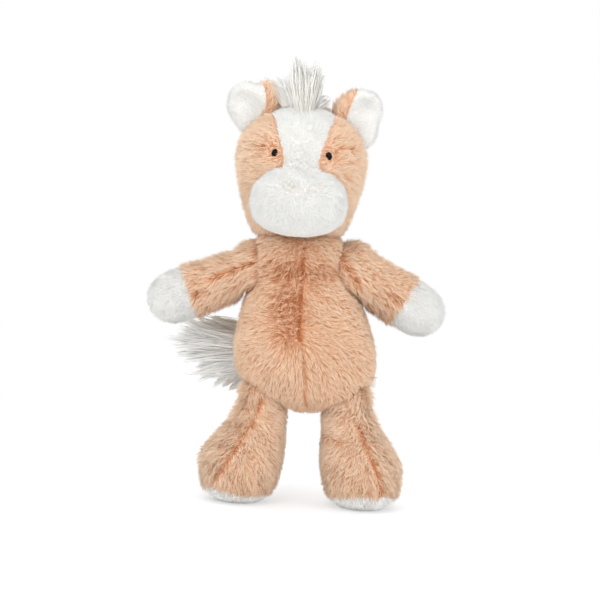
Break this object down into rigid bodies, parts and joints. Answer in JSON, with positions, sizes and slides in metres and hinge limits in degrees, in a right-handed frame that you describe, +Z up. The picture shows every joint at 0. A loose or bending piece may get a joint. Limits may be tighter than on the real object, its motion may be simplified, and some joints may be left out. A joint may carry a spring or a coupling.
{
  "type": "plush horse",
  "caption": "Standing plush horse with pile covers, white hooves, muzzle and blaze, bead eyes, yarn mane and tail, and jointed neck, arms, legs, ears and tail.",
  "frame": {"origin": "on the ground under the middle of the whole toy", "axes": "+Z up, -Y the way the horse faces, +X its own left"},
  "size_m": [0.198, 0.1112, 0.299],
  "materials": {
    "peach_pile": "long soft pile, peach",
    "white_pile": "short soft pile, white",
    "white_sole": "short pile, off-white",
    "long_hair": "long straight white fibre",
    "stuffing": "loose white fibre",
    "bean_cloth": "plain cloth bag of beans",
    "sewing_thread": "sewing thread",
    "label_tape": "woven tape, blank",
    "black_bead": "glossy black",
    "washer_plastic": "moulded, matte"
  },
  "bodies": {
    "torso": {"torso_front_left": "peach_pile", "torso_back_left": "peach_pile", "torso_front_right": "peach_pile", "torso_back_right": "peach_pile", "torso_stuffing": "stuffing", "bean_bag": "bean_cloth", "seam_label": "label_tape"},
    "neck": {"neck_thread": "sewing_thread"},
    "head": {"cheek_left": "peach_pile", "cheek_right": "peach_pile", "blaze": "white_pile", "muzzle": "white_pile", "head_stuffing": "stuffing", "eye_left": "black_bead", "eye_right": "black_bead", "eye_washer_left": "washer_plastic", "eye_washer_right": "washer_plastic", "forelock": "long_hair", "mane": "long_hair"},
    "ear_left": {"ear_back_left": "peach_pile", "ear_lining_left": "white_pile"},
    "arm_left": {"arm_left": "peach_pile", "hoof_left": "white_pile", "arm_stuffing_left": "stuffing"},
    "leg_left": {"leg_outer_left": "peach_pile", "leg_inner_left": "peach_pile", "sole_left": "white_sole", "leg_stuffing_left": "stuffing"},
    "ear_right": {"ear_back_right": "peach_pile", "ear_lining_right": "white_pile"},
    "arm_right": {"arm_right": "peach_pile", "hoof_right": "white_pile", "arm_stuffing_right": "stuffing"},
    "leg_right": {"leg_outer_right": "peach_pile", "leg_inner_right": "peach_pile", "sole_right": "white_sole", "leg_stuffing_right": "stuffing"},
    "tail": {"tail": "long_hair"}
  },
  "joints": [
    {"name": "neck_turn", "type": "hinge", "parent": "torso", "child": "neck", "pos_m": [-0.00021, 0.00141, 0.161], "axis": [0, 0, 1], "range_deg": [-30, 30]},
    {"name": "neck_nod", "type": "hinge", "parent": "neck", "child": "head", "pos_m": [-0.00021, 0.00141, 0.161], "axis": [1, 0, 0], "range_deg": [-15, 15]},
    {"name": "shoulder_left", "type": "hinge", "parent": "torso", "child": "arm_left", "pos_m": [0.02864, 0.00141, 0.1575], "axis": [0, -1, 0], "range_deg": [-12, 53]},
    {"name": "shoulder_right", "type": "hinge", "parent": "torso", "child": "arm_right", "pos_m": [-0.02636, 0.00141, 0.1575], "axis": [0, 1, 0], "range_deg": [-17, 48]},
    {"name": "hip_left", "type": "hinge", "parent": "torso", "child": "leg_left", "pos_m": [0.03709, -0.00359, 0.073], "axis": [-1, 0, 0], "range_deg": [-10, 45]},
    {"name": "hip_right", "type": "hinge", "parent": "torso", "child": "leg_right", "pos_m": [-0.01691, -0.00359, 0.073], "axis": [-1, 0, 0], "range_deg": [-10, 45]},
    {"name": "ear_fold_left", "type": "hinge", "parent": "head", "child": "ear_left", "pos_m": [0.02539, 0.00041, 0.2545], "axis": [0.6783, 0.4384, -0.5897], "range_deg": [-20, 25]},
    {"name": "ear_fold_right", "type": "hinge", "parent": "head", "child": "ear_right", "pos_m": [-0.02981, 0.00041, 0.2545], "axis": [0.6783, -0.4384, 0.5897], "range_deg": [-20, 25]},
    {"name": "tail_swing", "type": "hinge", "parent": "torso", "child": "tail", "pos_m": [0.00409, 0.03541, 0.093], "axis": [0, 0, 1], "range_deg": [-70, 5]}
  ]
}
